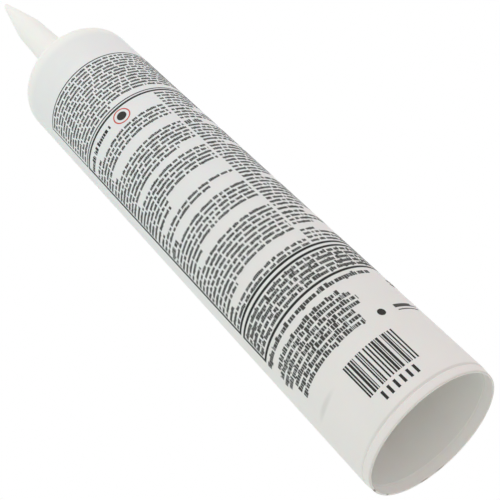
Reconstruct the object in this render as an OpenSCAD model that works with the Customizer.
// Sealant cartridge for a caulking gun: a one-piece moulded body with its nozzle, a piston and the paste.
// It stands on its open end with the nozzle up. The axis is Z, and the mouth lies in the plane Z = 0.

/* [Barrel] */
// Outside diameter of the barrel
barrel_d = 50; // [42:0.5:62]
// Wall of the barrel
barrel_wall = 1.5; // [1.2:0.1:2.5]
// Height of the edge between barrel and head, before it is rounded
barrel_h = 225.5; // [140:0.5:320]

/* [Mouth] */
// Height of the band round the mouth, up to the top of its groove
rim_h = 3.4; // [2.5:0.1:8]
// How far the band draws in, from the barrel's outside to the rim
rim_draw = 0.4; // [0.2:0.05:0.6]
// Width of the fine groove behind the band
groove_w = 0.8; // [0.4:0.1:1.4]
// Depth of the groove below the band
groove_depth = 0.2; // [0.1:0.05:0.3]
// Rounding of the rim's outer edge
rim_round = 0.15; // [0.05:0.05:0.25]
// Depth of the tapered mouth that leads the piston in
lead_depth = 3.8; // [2:0.1:10]
// How much wider than the bore the mouth is, on the radius
lead_flare = 0.55; // [0.4:0.05:0.8]
// Step at the end of the tapered mouth, on the radius
lead_step = 0.25; // [0.1:0.05:0.35]
// Length of the ramp that makes that step
lead_ramp = 0.6; // [0.3:0.1:1.5]

/* [Head] */
// Slope of the head's cone, in degrees
head_angle = 12; // [6:1:20]
// Wall of the head
head_wall = 2; // [1.5:0.1:3]
// Outside radius of the shoulder
shoulder_r = 5.5; // [3:0.5:9]

/* [Nozzle] */
// Length of the nozzle, from the barrel's edge to the tip
nozzle_h = 71; // [60:1:110]
// Diameter of the nozzle at the level of the barrel's edge
root_d = 15.7; // [13:0.1:20]
// Height at which the slim root turns into the finer taper
bend_h = 46; // [30:1:55]
// Diameter of the nozzle there
bend_d = 11.5; // [9:0.1:13]
// Diameter of the finer taper at the tip, before it is rounded
tip_d = 2.1; // [2:0.1:4]
// Wall of the nozzle
nozzle_wall = 1.4; // [1:0.1:1.8]
// Length of the solid, uncut tip
tip_solid = 9; // [6:0.5:14]
// Fillet where the nozzle leaves the head
root_fillet = 6; // [3:0.5:8]
// Blend radius between the two tapers
bend_round = 40; // [15:1:60]
// Rounding of the closed tip
tip_round = 0.9; // [0.4:0.1:1.1]

/* [Piston] */
// Depth of the piston's rear edge in the mouth, in a full cartridge
piston_depth = 24; // [12:0.5:40]
// Height of the piston, from its rear edge to its front edge
piston_h = 18; // [14:0.5:30]
// Running clearance of the lips in the bore
piston_gap = 0.08; // [0.03:0.01:0.1]
// Height of each wiper lip
lip_h = 2.2; // [1:0.1:3.5]
// Step from the lips down to the waist between them
lip_step = 0.7; // [0.3:0.1:1.2]
// Wall of the skirt
skirt_wall = 1.4; // [0.8:0.1:2.2]
// Wall of the crown
crown_wall = 1.8; // [1.2:0.1:3]
// How much rounder the crown's front edge is than the corner inside the head
crown_relief = 0.2; // [0.1:0.1:1]
// Rounding inside the cup, under the crown
cup_round = 2.4; // [0.5:0.1:4]
// Number of radial ribs under the crown
rib_count = 8; // [4:1:12]
// Thickness of the ribs and of the hub's wall
rib_w = 1.2; // [0.8:0.1:2]
// Height of the ribs below the crown
rib_h = 5; // [3:0.5:8]
// Outside diameter of the hub that the ribs meet
hub_d = 12; // [8:0.5:20]

/* [Paste] */
// Gap left between the paste and every wall round it
paste_gap = 0.1; // [0.05:0.05:0.3]

/* [Hidden] */
$fn = 96;
arc_steps = 8;
// Small excess that carries a cut past the face it opens
overrun = 1;
// Rounding at the blind end of the nozzle's passage
passage_round = 0.8;
// Least rounding of the corner inside the head
least_round = 0.5;

barrel_r = barrel_d / 2;
bore_r = barrel_r - barrel_wall;
lead_r = bore_r + lead_flare;
tip_z = barrel_h + nozzle_h;
head_corner_r = max(shoulder_r - barrel_wall, least_round);
lip_r = bore_r - piston_gap;
waist_r = lip_r - lip_step;
cup_r = waist_r - skirt_wall;
piston_front = piston_depth + piston_h;
crown_round = head_corner_r + crown_relief;

// Edges of a profile. Each is [angle of its outward normal, distance of the edge from the origin].
function normal(angle) = [cos(angle), sin(angle)];
function edge_at(angle, point) = [angle, point * normal(angle)];
function shifted(edge, outwards) = [edge[0], edge[1] + outwards];

// Point where two edges cross
function crossing(a, b) =
    let (na = normal(a[0]), nb = normal(b[0]), det = na.x * nb.y - na.y * nb.x)
    [a[1] * nb.y - b[1] * na.y, na.x * b[1] - nb.x * a[1]] / det;

// Points of the corner between two edges, rounded by a radius. A negative radius makes a fillet.
function corner(a, b, radius) =
    let (centre = crossing(shifted(a, -radius), shifted(b, -radius)))
    [for (i = [0:arc_steps]) centre + radius * normal(a[0] + (b[0] - a[0]) * i / arc_steps)];

// Edges of the body's outside
rim_face = edge_at(-90, [0, 0]);
rim_side = edge_at(-atan(rim_draw / rim_h), [barrel_r, rim_h]);
groove_start = edge_at(90, [0, rim_h - groove_w]);
groove_middle = edge_at(90, [0, rim_h - groove_w / 2]);
groove_floor = shifted(rim_side, -groove_depth);
barrel_side = edge_at(0, [barrel_r, 0]);
head_top = edge_at(90 - head_angle, [barrel_r, barrel_h]);
root_taper = atan((root_d - bend_d) / 2 / bend_h);
root_side = edge_at(root_taper, [bend_d / 2, barrel_h + bend_h]);
tip_taper = atan((bend_d - tip_d) / 2 / (nozzle_h - bend_h));
tip_side = edge_at(tip_taper, [tip_d / 2, tip_z]);
tip_face = edge_at(90, [0, tip_z]);

// Edges of the cavity
bore_side = edge_at(0, [bore_r, 0]);
head_under = shifted(head_top, -head_wall);
passage_root = shifted(root_side, -nozzle_wall);
passage_tip = shifted(tip_side, -nozzle_wall);
passage_end = shifted(tip_face, -tip_solid);

// Edges of the piston
lip_side = edge_at(0, [lip_r, 0]);
crown_top = edge_at(90 - head_angle, [lip_r, piston_front]);
cup_side = edge_at(0, [cup_r, 0]);
crown_under = shifted(crown_top, -crown_wall);
rib_foot = shifted(crown_under, -rib_h);
axis_side = edge_at(0, [0, 0]);

body_outline = concat(
    [[0, 0]],
    corner(rim_face, rim_side, rim_round),
    [crossing(rim_side, groove_start), crossing(groove_floor, groove_middle), [barrel_r, rim_h]],
    corner(barrel_side, head_top, shoulder_r),
    corner(head_top, root_side, -root_fillet),
    corner(root_side, tip_side, bend_round),
    corner(tip_side, tip_face, tip_round),
    [[0, tip_z]]);

cavity_outline = concat(
    [[0, -overrun], [lead_r, -overrun], [lead_r, 0]],
    [[bore_r + lead_step, lead_depth - lead_ramp], [bore_r, lead_depth]],
    corner(bore_side, head_under, head_corner_r),
    corner(head_under, passage_root, -(root_fillet + nozzle_wall)),
    corner(passage_root, passage_tip, bend_round - nozzle_wall),
    corner(passage_tip, passage_end, passage_round),
    [crossing(axis_side, passage_end)]);

piston_outline = concat(
    [[0, piston_depth], [lip_r, piston_depth], [lip_r, piston_depth + lip_h]],
    [[waist_r, piston_depth + lip_h + lip_step], [waist_r, piston_front - crown_round - lip_h - lip_step]],
    [[lip_r, piston_front - crown_round - lip_h]],
    corner(lip_side, crown_top, crown_round),
    [crossing(axis_side, crown_top)]);

cup_outline = concat(
    [[0, piston_depth - overrun], [cup_r, piston_depth - overrun]],
    corner(cup_side, crown_under, cup_round),
    [crossing(axis_side, crown_under)]);

// Space that the ribs fill: it laps into the crown and the skirt by half their walls
rib_reach = edge_at(0, [cup_r + skirt_wall / 2, 0]);
rib_top = shifted(crown_under, crown_wall / 2);
rib_outline = [
    crossing(axis_side, rib_foot),
    crossing(rib_reach, rib_foot),
    crossing(rib_reach, rib_top),
    crossing(axis_side, rib_top)];

// The paste lies between the piston's crown and the underside of the head
paste_side = shifted(bore_side, -paste_gap);
paste_foot = shifted(crown_top, paste_gap);
paste_top = shifted(head_under, -paste_gap);
paste_outline = concat(
    [crossing(axis_side, paste_foot), crossing(paste_side, paste_foot)],
    corner(paste_side, paste_top, head_corner_r),
    [crossing(axis_side, paste_top)]);

// Barrel, head and nozzle, moulded in one
module cartridge_body() {
    color("whitesmoke")
    difference() {
        rotate_extrude() polygon(body_outline);
        rotate_extrude() polygon(cavity_outline);
    }
}

// Ribs and hub in the piston's cup, cut to the slope of the crown
module piston_ribs() {
    intersection() {
        rotate_extrude() polygon(rib_outline);
        union() {
            for (i = [0:rib_count - 1])
                rotate(i * 360 / rib_count)
                translate([hub_d / 2 - rib_w / 2, -rib_w / 2, piston_depth])
                cube([barrel_r - hub_d / 2, rib_w, barrel_d]);
            translate([0, 0, piston_depth])
            difference() {
                cylinder(h = barrel_d, d = hub_d);
                translate([0, 0, -overrun])
                cylinder(h = barrel_d + 2 * overrun, d = hub_d - 2 * rib_w);
            }
        }
    }
}

// Cup with two wiper lips, open to the rear
module piston() {
    color("gainsboro") {
        difference() {
            rotate_extrude() polygon(piston_outline);
            rotate_extrude() polygon(cup_outline);
        }
        piston_ribs();
    }
}

// Paste between the piston and the head
module sealant() {
    color("lightgrey")
    rotate_extrude() polygon(paste_outline);
}

cartridge_body();
piston();
sealant();
